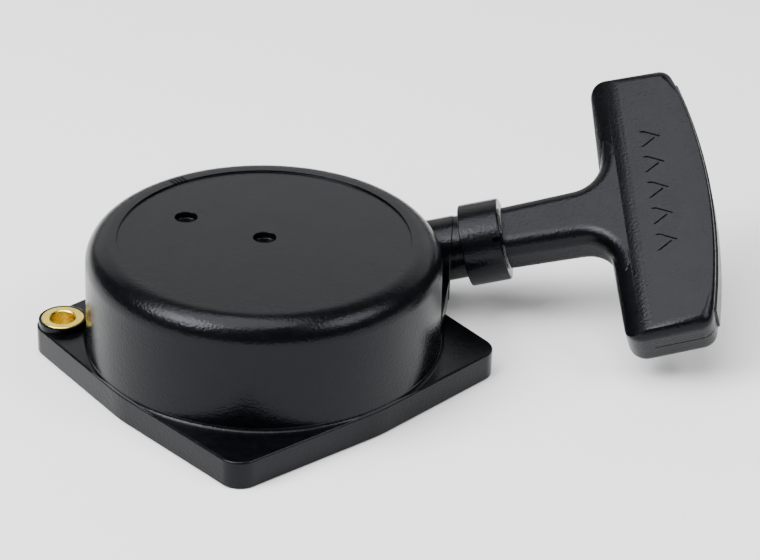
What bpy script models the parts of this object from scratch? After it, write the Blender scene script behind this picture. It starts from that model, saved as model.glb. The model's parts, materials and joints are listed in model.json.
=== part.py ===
"""Recoil starter for a small engine.

A moulded cup holds a rope reel and a flat spiral spring, and a T handle hangs on the rope at the
outlet neck. Frame: +Z up out of the cup, the origin on the reel axis in the flange's mounting plane,
and +X towards the right-hand flange corner and the handle. Sizes are in millimetres and are turned
into metres where meshes are made.
"""

import math

import bmesh
import bpy
from mathutils import Matrix, Vector

MM = 0.001
GAP = 0.3  # air left between touching pieces

# Cup
CUP_R_BASE = 48.0
CUP_R_TOP = 47.5
CUP_HEIGHT = 38.4
SHOULDER_R = 6.8
RECESS_R = 39.0
RECESS_DEPTH = 0.5
CAVITY_R_BASE = 45.3
CAVITY_R_TOP = 44.8
CAVITY_TOP = 35.4
CAVITY_FILLET = 4.3
POST_R = 7.0
POST_BOTTOM = 4.6
POST_BORE_TOP = 24.0
INSERT_R = 4.0
INSERT_BORE_R = 2.5
INSERT_TOP = 20.0
DIMPLE_R = 3.1  # two blind round recesses in the top, one of them on the axis
DIMPLE_DEPTH = 1.9
SIDE_DIMPLE = (-22.2, 9.0)
TICK_ANGLES = (130.0, 132.0, 134.0, 136.0)
TICK_HALF_WIDTH = 0.3
TICK_DEPTH = 0.4
PAST = 1.0  # how far a cutter runs past the face it opens

# Flange
FLANGE_T = 7.8
FLANGE_CIRCLE_R = 48.2
CORNER_DISTANCE = 56.2
CORNER_R = 6.0
BOLT_DISTANCE = 55.15  # from the reel axis, on the diagonals: a 78 mm square
BOSS_R = 6.9
BOSS_TOP = 9.8
SLEEVE_R = 5.6
SLEEVE_BORE_R = 3.35
SLEEVE_EDGE = 0.5
SLEEVE_TURNS = {"left": 180.0, "rear": 90.0}  # flange corners with a brass sleeve
SOCKET_R = 2.1
SOCKET_DEPTH = 6.0
SOCKET_TURNS = {"right": 0.0, "front": -90.0}  # flange corners with a blind socket

# Rope line: it leaves the reel as a tangent and climbs through the neck
ROPE_R = 1.6
COIL_R = 35.2  # radius of the wound rope's middle
ROPE_TURNS = 4
PULL_TILT = math.radians(15.5)
PULL_START = Vector((46.0, COIL_R, 17.8))
BLOCK_R = 9.15
BLOCK_START_X = 14.0
BLOCK_END_X = 49.6
BLOCK_BOTTOM = 7.5
WEB_TOP = 13.4
NECK_R = 8.9
NECK_END = 17.5
NECK_BORE_R = 6.3
COLLAR_START = 7.7
COLLAR_END = 19.0
COLLAR_R = 11.6
COLLAR_MOUTH_R = 4.0
NOTCH_ANGLE = 152.0
GUIDE_START = -5.0
GUIDE_END = 17.2
GUIDE_BORE_R = 2.6
RUN_START_X = 17.0  # where the rope leaves the wound coil
RUN_END = -6.6
LEAD_START = -6.2
LEAD_PAST_WASHER = 1.4

# Handle, in its own frame: u along the rope, v along the grip, n out of the broad face
HANDLE_TURN = math.radians(61.0)
STEM_START = 19.4
STEM_HALF = 6.9
STEM_HALF_WIDE = 7.9
STEM_WIDE_AT = 38.0
STEM_TRIM = 8.0  # length moulded past the stem's flat end, then cut off
STEM_BORE_R = 2.3
FLARE_R = 9.0
GRIP_HALF = 43.4
GRIP_INNER = 48.4
GRIP_OUTER_MID = 77.5
GRIP_OUTER_END = 71.9
GRIP_HALF_T = 7.75
GRIP_EDGE_R = 3.6
GRIP_EDGE_STEPS = 3
GRIP_INNER_CORNER_R = 5.0
GRIP_OUTER_CORNER_R = 4.0
GRIP_ARC_SHARE = 0.84  # share of the half length that the convex arc takes up
POCKET_START = 59.5
POCKET_R = 6.0
HANDLE_KNOT_R = 4.5
KNOT_WASHER_T = 1.0
CAP_HALF_LENGTH = 38.0
CAP_HALF_WIDTH = 4.8
CAP_DEPTH = 1.2
CAP_PROUD = 0.5
CAP_PLUG_START = 71.4

# Reel
REEL_BOTTOM = 7.8
REEL_TOP = 24.2
REEL_MIDDLE = (REEL_BOTTOM + REEL_TOP) / 2
REEL_R = 41.0
REEL_RIM_T = 1.5
GROOVE_R = 33.3
REEL_WALL_R = 30.5
REEL_WEB_TOP = 12.5
HUB_BORE_R = 8.8
HUB_R = 10.6
HUB_TOP = 33.2
HUB_ROOT_R = 14.0
ROPE_HOLE_ANGLE = 200.0
ROPE_HOLE_R = 2.0
REEL_KNOT_R = 3.1
REEL_KNOT_OFFSET = 26.8

# Spring pack above the reel
CASE_R = 31.0
CASE_WALL = 1.0
CASE_TOP = 35.0
CASE_BOTTOM = 25.6
COVER_BOTTOM = 24.6
COVER_T = 0.7
COVER_BORE_R = 12.2
CASE_SCREW_R = 36.0
CASE_SCREW_ANGLES = (30.0, 150.0, 270.0)
CASE_SCREW_SHANK_R = 1.1
CASE_SCREW_HEAD_R = 2.7
CASE_SCREW_HEAD_T = 1.5
CASE_SCREW_END = 34.9
PILLAR_R = 3.2
PILOT_R = 1.4
EAR_BOTTOM = 27.7
EAR_T = 1.0
EAR_HALF_WIDTH = 3.5
SPRING_TURNS = 6
SPRING_STEPS = 20  # straight lengths in each turn
SPRING_INNER_R = 11.7
SPRING_OUTER_R = 29.2
SPRING_STRIP_T = 0.5

# Pawls and what guides them, under the reel
PAWL_PIVOT_R = 19.0
PAWL_BOTTOM = 4.7
PAWL_TOP = 7.5
PAWL_LENGTH = 11.0
PAWL_HALF_WIDTH = 3.4
PIN_R = 1.9
PIN_HEAD_R = 2.9
PIN_HEAD_BOTTOM = 3.4
PIN_TOP = 11.2
PAWL_WIRE_R = 0.4
BRAKE_COIL_R = 8.3
BRAKE_WIRE_R = 0.45
BRAKE_TURNS = 2
BRAKE_BOTTOM = 5.15
BRAKE_RISE = 1.7
PLATE_BOTTOM = 3.3
PLATE_TOP = 4.3
PLATE_R = 12.0
PLATE_ARM_ANGLES = (70.0, 250.0)
WASHER_BOTTOM = 2.2
WASHER_TOP = 3.0
WASHER_R = 9.0
SCREW_HEAD_BOTTOM = 0.3
SCREW_HEAD_TOP = 1.9
SCREW_HEAD_R = 4.6
SCREW_SHANK_R = 2.2
SCREW_TOP = 19.8

BLACK_NYLON = ("black_nylon", (0.012, 0.013, 0.015), 0.38, 0.0)
BLACK_GRIP = ("black_grip", (0.014, 0.015, 0.017), 0.42, 0.0)
BRASS = ("brass", (0.78, 0.57, 0.22), 0.25, 1.0)
STEEL = ("zinc_steel", (0.62, 0.63, 0.65), 0.35, 1.0)
SPRING_STEEL = ("spring_steel", (0.22, 0.25, 0.32), 0.3, 1.0)
WHITE_NYLON = ("natural_nylon", (0.82, 0.80, 0.73), 0.5, 0.0)
ROPE = ("rope", (0.62, 0.60, 0.56), 0.9, 0.0)


# ---------------------------------------------------------------- helpers


def clear_scene():
    for old in list(bpy.data.objects):
        bpy.data.objects.remove(old)


def material(finish):
    name, colour, roughness, metallic = finish
    made = bpy.data.materials.get(name)
    if made:
        return made
    made = bpy.data.materials.new(name)
    made.use_nodes = True
    shader = made.node_tree.nodes["Principled BSDF"]
    shader.inputs["Base Color"].default_value = (*colour, 1.0)
    shader.inputs["Roughness"].default_value = roughness
    shader.inputs["Metallic"].default_value = metallic
    made.diffuse_color = (*colour, 1.0)
    return made


def add_object(name, mesh_data, finish=None, place=None):
    mesh = bpy.data.meshes.new(name)
    bmesh.ops.recalc_face_normals(mesh_data, faces=mesh_data.faces)
    mesh_data.to_mesh(mesh)
    mesh_data.free()
    mesh.shade_smooth()
    mesh.set_sharp_from_angle(angle=math.radians(32))
    made = bpy.data.objects.new(name, mesh)
    bpy.context.scene.collection.objects.link(made)
    if place is not None:
        made.matrix_world = place
    if finish is None:
        made.hide_render = True
        made.display_type = "WIRE"
    else:
        mesh.materials.append(material(finish))
    return made


def combine(target, tool, operation="DIFFERENCE"):
    modifier = target.modifiers.new(tool.name, "BOOLEAN")
    modifier.operation = operation
    modifier.object = tool
    return modifier


def turned(profile, steps=48):
    """Closed solid of revolution about Z from a closed (r, z) outline in millimetres."""
    made = bmesh.new()
    rings = []
    for r, z in profile:
        if r == 0:
            rings.append([made.verts.new((0, 0, z * MM))] * steps)
            continue
        ring = []
        for k in range(steps):
            a = 2 * math.pi * k / steps
            ring.append(made.verts.new((r * MM * math.cos(a), r * MM * math.sin(a), z * MM)))
        rings.append(ring)
    for low, high in zip(rings, rings[1:] + rings[:1]):
        for k in range(steps):
            corners = [low[k], low[(k + 1) % steps], high[(k + 1) % steps], high[k]]
            corners = list(dict.fromkeys(corners))
            if len(corners) > 2:
                made.faces.new(corners)
    return made


def prism(outline, z0, z1):
    """Closed straight-sided solid on an (x, y) outline in millimetres."""
    made = bmesh.new()
    low = [made.verts.new((x * MM, y * MM, z0 * MM)) for x, y in outline]
    high = [made.verts.new((x * MM, y * MM, z1 * MM)) for x, y in outline]
    made.faces.new(low)
    made.faces.new(high)
    for k in range(len(outline)):
        n = (k + 1) % len(outline)
        made.faces.new((low[k], low[n], high[n], high[k]))
    return made


def outward(outline, k):
    """Mitred outward direction at point k of an anticlockwise outline, for a unit offset."""
    here = Vector(outline[k])
    into = (here - Vector(outline[k - 1])).normalized()
    out = (Vector(outline[(k + 1) % len(outline)]) - here).normalized()
    first = Vector((into.y, -into.x))
    second = Vector((out.y, -out.x))
    return (first + second) / (1 + first.dot(second))


def soft_prism(outline, half, edge_r, steps):
    """Prism about z = 0 on an anticlockwise outline, with both rims rounded."""
    levels = []
    for side in (-1, 1):
        rim = []
        for s in range(steps + 1):
            a = math.pi / 2 * s / steps
            rim.append((side * (half - edge_r + edge_r * math.sin(a)), edge_r * (1 - math.cos(a))))
        levels += rim[::-1] if side < 0 else rim
    made = bmesh.new()
    rings = []
    for z, inset in levels:
        ring = []
        for k, (x, y) in enumerate(outline):
            place = Vector((x, y)) - outward(outline, k) * inset
            ring.append(made.verts.new((place.x * MM, place.y * MM, z * MM)))
        rings.append(ring)
    made.faces.new(rings[0])
    made.faces.new(rings[-1])
    for low, high in zip(rings, rings[1:]):
        for k in range(len(outline)):
            n = (k + 1) % len(outline)
            made.faces.new((low[k], low[n], high[n], high[k]))
    return made


def arc(centre, radius, start, end, steps):
    """Points on an arc, angles in degrees, both ends included."""
    turn = [math.radians(start + (end - start) * k / steps) for k in range(steps + 1)]
    return [(centre[0] + radius * math.cos(a), centre[1] + radius * math.sin(a)) for a in turn]


def rounded(points, steps=4):
    """Outline whose corners are rounded; each point is (x, y, radius)."""
    made = []
    for k, (x, y, radius) in enumerate(points):
        here = Vector((x, y))
        before = (Vector(points[k - 1][:2]) - here).normalized()
        after = (Vector(points[(k + 1) % len(points)][:2]) - here).normalized()
        if radius == 0:
            made.append((x, y))
            continue
        half = before.angle(after) / 2
        reach = radius / math.tan(half)
        centre = here + (before + after).normalized() * (radius / math.sin(half))
        first = here + before * reach - centre
        last = here + after * reach - centre
        sweep = math.atan2(first.x * last.y - first.y * last.x, first.dot(last))
        for s in range(steps + 1):
            spin = Matrix.Rotation(sweep * s / steps, 2)
            made.append(tuple(centre + spin @ first))
    return made


def tube(name, points, radius, finish, sides=2):
    """Round bar along a line of points in millimetres, with filled ends."""
    line = bpy.data.curves.new(name, "CURVE")
    line.dimensions = "3D"
    line.bevel_depth = radius * MM
    line.bevel_resolution = sides
    line.use_fill_caps = True
    spline = line.splines.new("POLY")
    spline.points.add(len(points) - 1)
    for point, place in zip(spline.points, points):
        point.co = (*(Vector(place) * MM), 1.0)
    line.materials.append(material(finish))
    made = bpy.data.objects.new(name, line)
    bpy.context.scene.collection.objects.link(made)
    return made


def frame_matrix(origin, along, across):
    """Matrix whose local X runs along and whose local Y runs across."""
    third = along.cross(across)
    turn = Matrix((along, across, third)).transposed().to_4x4()
    return Matrix.Translation(Vector(origin) * MM) @ turn


def circle_place(radius, degrees, z=0.0):
    a = math.radians(degrees)
    centre = Vector((radius * math.cos(a), radius * math.sin(a), z)) * MM
    return Matrix.Translation(centre) @ Matrix.Rotation(a, 4, "Z")


def turned_by(degrees):
    return Matrix.Rotation(math.radians(degrees), 4, "Z")


PULL_AXIS = Vector((math.cos(PULL_TILT), 0.0, math.sin(PULL_TILT)))
PULL_LEVEL = Vector((0.0, 1.0, 0.0))
PULL_RISE = PULL_AXIS.cross(PULL_LEVEL)
GRIP_AXIS = PULL_RISE * math.cos(HANDLE_TURN) + PULL_LEVEL * math.sin(HANDLE_TURN)
HANDLE_FRAME = frame_matrix(PULL_START, PULL_AXIS, GRIP_AXIS)
# the same line, with local Z along the rope for turned pieces
NECK_FRAME = frame_matrix(PULL_START, -PULL_RISE, PULL_LEVEL)


def on_rope_line(distance):
    return PULL_START + PULL_AXIS * distance


# ---------------------------------------------------------------- housing


def flange_outline():
    """Circle and four corner circles wrapped by their common tangents."""
    half = math.degrees(math.acos((FLANGE_CIRCLE_R - CORNER_R) / CORNER_DISTANCE))
    points = []
    for corner in range(4):
        turn = 90.0 * corner
        a = math.radians(turn)
        centre = (CORNER_DISTANCE * math.cos(a), CORNER_DISTANCE * math.sin(a))
        points += arc(centre, CORNER_R, turn - half, turn + half, 7)
        points += arc((0, 0), FLANGE_CIRCLE_R, turn + half, turn + 90 - half, 2)
    return points


def outlet_block():
    """Upright block round the root of the neck, half-round on top along the rope line."""
    steps = 24
    made = bmesh.new()
    start = on_rope_line(-34.0)
    near, far = [], []
    for k in range(steps):
        a = 2 * math.pi * k / steps
        side = PULL_LEVEL * math.cos(a) + PULL_RISE * math.sin(a)
        first = start + side * BLOCK_R
        last = first + PULL_AXIS * ((BLOCK_END_X - first.x) / PULL_AXIS.x)
        near.append(made.verts.new(first * MM))
        far.append(made.verts.new(last * MM))
    made.faces.new(near)
    made.faces.new(far)
    for k in range(steps):
        n = (k + 1) % steps
        made.faces.new((near[k], near[n], far[n], far[k]))
    return made


def block_foot():
    """Straight sides of the outlet block below the rope line."""
    made = bmesh.new()
    rise = math.tan(PULL_TILT)
    end_x = BLOCK_END_X - 0.02
    end_z = PULL_START.z + (BLOCK_END_X - PULL_START.x) * rise
    start_z = PULL_START.z + (BLOCK_START_X - PULL_START.x) * rise
    side = [(BLOCK_START_X, BLOCK_BOTTOM), (end_x, BLOCK_BOTTOM), (end_x, end_z), (BLOCK_START_X, start_z)]
    near = [made.verts.new(Vector((x, COIL_R - BLOCK_R, z)) * MM) for x, z in side]
    far = [made.verts.new(Vector((x, COIL_R + BLOCK_R, z)) * MM) for x, z in side]
    made.faces.new(near)
    made.faces.new(far)
    for k in range(4):
        n = (k + 1) % 4
        made.faces.new((near[k], near[n], far[n], far[k]))
    return made


def cup_solid():
    shoulder = arc((CUP_R_TOP - SHOULDER_R, CUP_HEIGHT - SHOULDER_R), SHOULDER_R, 0, 90, 6)
    top = CUP_HEIGHT - RECESS_DEPTH
    outer = [(0, 0.2), (CUP_R_BASE, 0.2), *shoulder, (RECESS_R, CUP_HEIGHT), (RECESS_R, top)]
    outer += [(DIMPLE_R, top), (DIMPLE_R, top - DIMPLE_DEPTH), (0, top - DIMPLE_DEPTH)]
    return turned(outer, 72)


def cavity_solid():
    """Inside of the cup, round the centre post."""
    ceiling = arc((CAVITY_R_TOP - CAVITY_FILLET, CAVITY_TOP - CAVITY_FILLET), CAVITY_FILLET, 0, 90, 3)
    side = [(0, -PAST), (CAVITY_R_BASE, -PAST), *ceiling, (POST_R, CAVITY_TOP)]
    side += [(POST_R, POST_BOTTOM), (0, POST_BOTTOM)]
    return turned(side, 64)


def plain_pin(radius, low, high, steps):
    """Upright cylinder about Z, from low to high."""
    return turned([(0, low), (radius, low), (radius, high), (0, high)], steps)


def make_housing():
    housing = add_object("housing", cup_solid(), BLACK_NYLON)
    combine(housing, add_object("add_flange", prism(flange_outline(), 0, FLANGE_T)), "UNION")
    combine(housing, add_object("add_block", outlet_block()), "UNION")
    combine(housing, add_object("add_foot", block_foot()), "UNION")
    block_side = COIL_R - BLOCK_R
    web = [(42.0, -4.0), (CUP_R_BASE - 0.1, 2.0)]
    web += [(BLOCK_END_X - 0.1, block_side + 0.5), (36.0, block_side + 2.0)]
    combine(housing, add_object("add_web", prism(web, BLOCK_BOTTOM + 0.05, WEB_TOP)), "UNION")
    neck = plain_pin(NECK_R, -30, NECK_END, 32)
    combine(housing, add_object("add_neck", neck, place=NECK_FRAME), "UNION")
    for name, turn in SLEEVE_TURNS.items():
        place = circle_place(BOLT_DISTANCE, turn)
        tool = add_object("add_boss_" + name, plain_pin(BOSS_R, 0.1, BOSS_TOP, 32), place=place)
        combine(housing, tool, "UNION")

    combine(housing, add_object("cut_cavity", cavity_solid()))
    for number, turn in enumerate(CASE_SCREW_ANGLES):
        place = circle_place(CASE_SCREW_R, turn)
        pillar = plain_pin(PILLAR_R, EAR_BOTTOM + EAR_T + GAP, CAVITY_TOP + PAST, 16)
        combine(housing, add_object(f"add_pillar_{number}", pillar, place=place), "UNION")
        pilot = plain_pin(PILOT_R, EAR_BOTTOM, CAVITY_TOP + 0.8, 12)
        combine(housing, add_object(f"cut_pilot_{number}", pilot, place=place))

    bore = plain_pin(INSERT_R + GAP, POST_BOTTOM - PAST, POST_BORE_TOP, 32)
    combine(housing, add_object("cut_post_bore", bore))
    dimple = plain_pin(DIMPLE_R, CUP_HEIGHT - RECESS_DEPTH - DIMPLE_DEPTH, CUP_HEIGHT + PAST, 32)
    place = Matrix.Translation(Vector((*SIDE_DIMPLE, 0)) * MM)
    combine(housing, add_object("cut_dimple", dimple, place=place))
    bore = plain_pin(NECK_BORE_R, -26, NECK_END + PAST, 24)
    combine(housing, add_object("cut_neck_bore", bore, place=NECK_FRAME))
    for name, turn in SLEEVE_TURNS.items():
        hole = plain_pin(SLEEVE_R + GAP, -PAST, BOSS_TOP + PAST, 32)
        combine(housing, add_object("cut_sleeve_" + name, hole, place=circle_place(BOLT_DISTANCE, turn)))
    for name, turn in SOCKET_TURNS.items():
        socket = plain_pin(SOCKET_R, -PAST, SOCKET_DEPTH, 16)
        combine(housing, add_object("cut_socket_" + name, socket, place=circle_place(BOLT_DISTANCE, turn)))
    near, far = RECESS_R - PAST, RECESS_R + 3
    w = TICK_HALF_WIDTH
    for number, angle in enumerate(TICK_ANGLES):
        tick = prism([(near, -w), (far, -w), (far, w), (near, w)], CUP_HEIGHT - TICK_DEPTH, CUP_HEIGHT + PAST)
        combine(housing, add_object(f"cut_tick_{number}", tick, place=turned_by(angle)))


def make_housing_fittings():
    edge = SLEEVE_EDGE
    sleeve = [(SLEEVE_BORE_R, 0), (SLEEVE_R, 0), (SLEEVE_R, BOSS_TOP - edge), (SLEEVE_R - edge, BOSS_TOP)]
    sleeve += [(SLEEVE_BORE_R + edge, BOSS_TOP), (SLEEVE_BORE_R, BOSS_TOP - edge)]
    for name, turn in SLEEVE_TURNS.items():
        place = circle_place(BOLT_DISTANCE, turn)
        add_object("mounting_sleeve_" + name, turned(sleeve, 32), BRASS, place)
    start = POST_BOTTOM + GAP
    insert = [(INSERT_BORE_R, start), (INSERT_R, start), (INSERT_R, INSERT_TOP), (INSERT_BORE_R, INSERT_TOP)]
    add_object("post_insert", turned(insert, 24), BRASS)

    wall = NECK_END + GAP
    collar = [(NECK_R + GAP, COLLAR_START), (COLLAR_R - 0.4, COLLAR_START), (COLLAR_R, COLLAR_START + 0.4)]
    collar += [(COLLAR_R, COLLAR_END - 0.6), (COLLAR_R - 0.6, COLLAR_END), (COLLAR_MOUTH_R, COLLAR_END)]
    collar += [(COLLAR_MOUTH_R, wall), (NECK_R + GAP, wall)]
    outlet = add_object("outlet_collar", turned(collar, 40), BLACK_NYLON, NECK_FRAME)
    near, far = COLLAR_R - 2.0, COLLAR_R + PAST
    notch = prism([(-0.6, near), (0.6, near), (0.6, far), (-0.6, far)], COLLAR_END - 2.2, COLLAR_END + PAST)
    combine(outlet, add_object("cut_notch", notch, place=NECK_FRAME @ turned_by(NOTCH_ANGLE)))

    guide = [(GUIDE_BORE_R, GUIDE_START + 3), (4.4, GUIDE_START), (NECK_BORE_R - GAP, GUIDE_START)]
    guide += [(NECK_BORE_R - GAP, GUIDE_END), (3.6, GUIDE_END), (GUIDE_BORE_R, GUIDE_END - 1.5)]
    add_object("rope_guide", turned(guide, 24), STEEL, NECK_FRAME)


# ---------------------------------------------------------------- spring pack


def spring_strip():
    """Flat spiral strip between the hub and the case."""
    made = bmesh.new()
    count = SPRING_TURNS * SPRING_STEPS
    low_z = (CASE_BOTTOM + 0.4) * MM
    high_z = (CASE_TOP - CASE_WALL - 0.4) * MM
    rows = []
    for k in range(count + 1):
        a = 2 * math.pi * k / SPRING_STEPS
        r = SPRING_INNER_R + (SPRING_OUTER_R - SPRING_INNER_R) * k / count
        far = r + SPRING_STRIP_T
        row = []
        for radius, z in ((r, low_z), (far, low_z), (far, high_z), (r, high_z)):
            row.append(made.verts.new((radius * MM * math.cos(a), radius * MM * math.sin(a), z)))
        rows.append(row)
    made.faces.new(rows[0])
    made.faces.new(rows[-1])
    for low, high in zip(rows, rows[1:]):
        for k in range(4):
            n = (k + 1) % 4
            made.faces.new((low[k], low[n], high[n], high[k]))
    return made


def make_spring_pack():
    inner = CASE_R - CASE_WALL
    roof = CASE_TOP - CASE_WALL
    pan = [(inner, CASE_BOTTOM), (CASE_R, CASE_BOTTOM), (CASE_R, CASE_TOP), (POST_R + 0.6, CASE_TOP)]
    pan += [(POST_R + 0.6, roof), (inner, roof)]
    case = add_object("spring_case", turned(pan, 48), STEEL)
    w = EAR_HALF_WIDTH
    tip = CASE_SCREW_R + 3.4
    ear = [(inner + 0.4, -w), (tip - 1.4, -w), (tip, 1.5 - w)]
    ear += [(x, -y) for x, y in reversed(ear)]
    under = EAR_BOTTOM - GAP
    head = under - CASE_SCREW_HEAD_T
    screw = [(0, head), (CASE_SCREW_HEAD_R - 0.3, head), (CASE_SCREW_HEAD_R, head + 0.6)]
    screw += [(CASE_SCREW_HEAD_R, under), (CASE_SCREW_SHANK_R, under)]
    screw += [(CASE_SCREW_SHANK_R, CASE_SCREW_END - 0.4), (0, CASE_SCREW_END)]
    for number, angle in enumerate(CASE_SCREW_ANGLES):
        tab = prism(ear, EAR_BOTTOM, EAR_BOTTOM + EAR_T)
        combine(case, add_object(f"add_ear_{number}", tab, place=turned_by(angle)), "UNION")
        place = circle_place(CASE_SCREW_R, angle)
        hole = plain_pin(CASE_SCREW_SHANK_R + 0.5, EAR_BOTTOM - PAST, EAR_BOTTOM + EAR_T + PAST, 12)
        combine(case, add_object(f"cut_ear_{number}", hole, place=place))
        add_object(f"case_screw_{number + 1}", turned(screw, 16), STEEL, place)
    top = COVER_BOTTOM + COVER_T
    cover = [(COVER_BORE_R, COVER_BOTTOM), (CASE_R, COVER_BOTTOM), (CASE_R, top), (COVER_BORE_R, top)]
    add_object("spring_cover", turned(cover, 40), STEEL)
    add_object("recoil_spring", spring_strip(), SPRING_STEEL)


# ---------------------------------------------------------------- reel and rope


def make_reel():
    rim_low = REEL_BOTTOM + REEL_RIM_T
    rim_high = REEL_TOP - REEL_RIM_T
    side = [(HUB_BORE_R, REEL_BOTTOM), (REEL_R, REEL_BOTTOM), (REEL_R, rim_low), (GROOVE_R, rim_low)]
    side += [(GROOVE_R, rim_high), (REEL_R, rim_high), (REEL_R, REEL_TOP), (REEL_WALL_R, REEL_TOP)]
    side += [(REEL_WALL_R, REEL_WEB_TOP), (HUB_ROOT_R, REEL_WEB_TOP), (HUB_R, REEL_WEB_TOP + 3.0)]
    side += [(HUB_R, HUB_TOP), (HUB_BORE_R, HUB_TOP)]
    reel = add_object("reel", turned(side, 48), WHITE_NYLON)
    for number in range(2):
        seat = plain_pin(PIN_R + GAP, REEL_BOTTOM - PAST, PIN_TOP + GAP + 0.1, 16)
        place = circle_place(PAWL_PIVOT_R, 180 * number)
        combine(reel, add_object(f"cut_pin_seat_{number}", seat, place=place))
    across = plain_pin(ROPE_HOLE_R, REEL_WALL_R - 2.5, GROOVE_R + 2.7, 12)
    aim = turned_by(ROPE_HOLE_ANGLE) @ Matrix.Translation((0, 0, REEL_MIDDLE * MM))
    tool = add_object("cut_rope_hole", across, place=aim @ Matrix.Rotation(math.pi / 2, 4, "Y"))
    combine(reel, tool)
    bush = [(POST_R + GAP, REEL_BOTTOM + 0.2), (HUB_BORE_R - GAP, REEL_BOTTOM + 0.2)]
    bush += [(HUB_BORE_R - GAP, HUB_TOP), (POST_R + GAP, HUB_TOP)]
    add_object("reel_bush", turned(bush, 32), SPRING_STEEL)


def ball(radius, rings, steps):
    """Sphere about the origin whose poles are single points."""
    side = arc((0, 0), radius, -90, 90, rings)
    side[0], side[-1] = (0, -radius), (0, radius)
    return turned(side, steps)


def make_rope():
    low, high = REEL_MIDDLE - ROPE_R * ROPE_TURNS, REEL_MIDDLE + ROPE_R * ROPE_TURNS
    inner, outer = COIL_R - ROPE_R, COIL_R + ROPE_R
    coil = [(inner, low), (outer - 0.5, low), (outer, low + 0.5)]
    coil += [(outer, high - 0.5), (outer - 0.5, high), (inner, high)]
    add_object("rope_coil", turned(coil, 48), ROPE)
    place = circle_place(REEL_KNOT_OFFSET, ROPE_HOLE_ANGLE, REEL_MIDDLE)
    add_object("reel_knot", ball(REEL_KNOT_R, 6, 12), ROPE, place)

    first = Vector((RUN_START_X, COIL_R, REEL_MIDDLE))
    last = on_rope_line(RUN_END)
    reach = (last - first).length
    run = []
    for k in range(9):
        t = k / 8
        straight = first.lerp(last, 3 * t * t - 2 * t**3)
        start_pull = Vector((1, 0, 0)) * reach * (t - 2 * t * t + t**3)
        end_pull = PULL_AXIS * reach * (t**3 - t * t)
        run.append(straight + start_pull + end_pull)
    tube("rope_run", run, ROPE_R, ROPE)
    lead = plain_pin(ROPE_R, LEAD_START, POCKET_START + LEAD_PAST_WASHER, 12)
    add_object("rope_lead", lead, ROPE, NECK_FRAME)


# ---------------------------------------------------------------- pawls and centre fastening


def make_pawls():
    w = PAWL_HALF_WIDTH
    arm = [(w, 0.0, 0), (2.9, 3.5 - PAWL_LENGTH, 1.0), (1.2, -PAWL_LENGTH, 0.8)]
    arm += [(-2.6, 2.2 - PAWL_LENGTH, 1.0), (-w, 0.0, 0)]
    outline = rounded(arm, 2) + arc((0, 0), w, 180, 0, 8)[1:-1]
    wire = [(-5.4, 6.5), (-4.9, 3.0), (-4.7, -1.0), (-4.2, -5.0), (-3.4, -9.5)]
    middle = (PAWL_BOTTOM + PAWL_TOP) / 2
    for number in range(2):
        place = circle_place(PAWL_PIVOT_R, 180 * number)
        pawl = add_object(f"pawl_{number + 1}", prism(outline, PAWL_BOTTOM, PAWL_TOP), STEEL, place)
        hole = plain_pin(PIN_R + GAP, PAWL_BOTTOM - PAST, PAWL_TOP + PAST, 16)
        combine(pawl, add_object(f"cut_pawl_{number}", hole, place=place))
        neck = PAWL_BOTTOM - GAP
        pin = [(0, PIN_HEAD_BOTTOM), (PIN_HEAD_R, PIN_HEAD_BOTTOM), (PIN_HEAD_R, neck), (PIN_R, neck)]
        pin += [(PIN_R, PIN_TOP), (0, PIN_TOP)]
        add_object(f"pawl_pin_{number + 1}", turned(pin, 16), STEEL, place)
        points = [place @ (Vector((x, y, middle)) * MM) / MM for x, y in wire]
        tube(f"pawl_spring_{number + 1}", points, PAWL_WIRE_R, SPRING_STEEL, 1)


def make_centre():
    steps = 14 * BRAKE_TURNS
    coil = []
    for k in range(steps + 1):
        a = 2 * math.pi * BRAKE_TURNS * k / steps
        height = BRAKE_BOTTOM + BRAKE_RISE * k / steps
        coil.append((BRAKE_COIL_R * math.cos(a), BRAKE_COIL_R * math.sin(a), height))
    tube("brake_spring", coil, BRAKE_WIRE_R, SPRING_STEEL, 1)

    bore = SCREW_SHANK_R + 0.5
    plate = [(bore, PLATE_BOTTOM), (PLATE_R, PLATE_BOTTOM), (PLATE_R, PLATE_TOP), (bore, PLATE_TOP)]
    guide = add_object("guide_plate", turned(plate, 32), STEEL)
    tip = PLATE_R + 10
    arm = rounded([(PLATE_R - 2, -3.2, 0), (tip, -2.2, 1.5), (tip, 2.2, 1.5), (PLATE_R - 2, 3.2, 0)], 3)
    for number, angle in enumerate(PLATE_ARM_ANGLES):
        tool = add_object(f"add_arm_{number}", prism(arm, PLATE_BOTTOM, PLATE_TOP), place=turned_by(angle))
        combine(guide, tool, "UNION")
    washer = [(bore, WASHER_BOTTOM), (WASHER_R, WASHER_BOTTOM), (WASHER_R, WASHER_TOP), (bore, WASHER_TOP)]
    add_object("reel_washer", turned(washer, 32), STEEL)
    hexagon = arc((0, 0), SCREW_HEAD_R, 0, 300, 5)
    screw = add_object("reel_screw", prism(hexagon, SCREW_HEAD_BOTTOM, SCREW_HEAD_TOP), STEEL)
    root = SCREW_HEAD_TOP - 0.7
    shank = [(0, root), (SCREW_SHANK_R, root), (SCREW_SHANK_R, SCREW_TOP - 0.6)]
    shank += [(SCREW_SHANK_R - 0.6, SCREW_TOP), (0, SCREW_TOP)]
    combine(screw, add_object("add_shank", turned(shank, 20)), "UNION")


# ---------------------------------------------------------------- handle


def outer_arc(offset, half, steps):
    """Points on the grip's convex outer side, as (u, v), moved outwards by offset."""
    sag = GRIP_OUTER_MID - GRIP_OUTER_END
    radius = (GRIP_HALF**2 + sag**2) / (2 * sag)
    limit = math.degrees(math.asin(half / (radius + offset)))
    return arc((GRIP_OUTER_MID - radius, 0), radius + offset, -limit, limit, steps)


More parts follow.
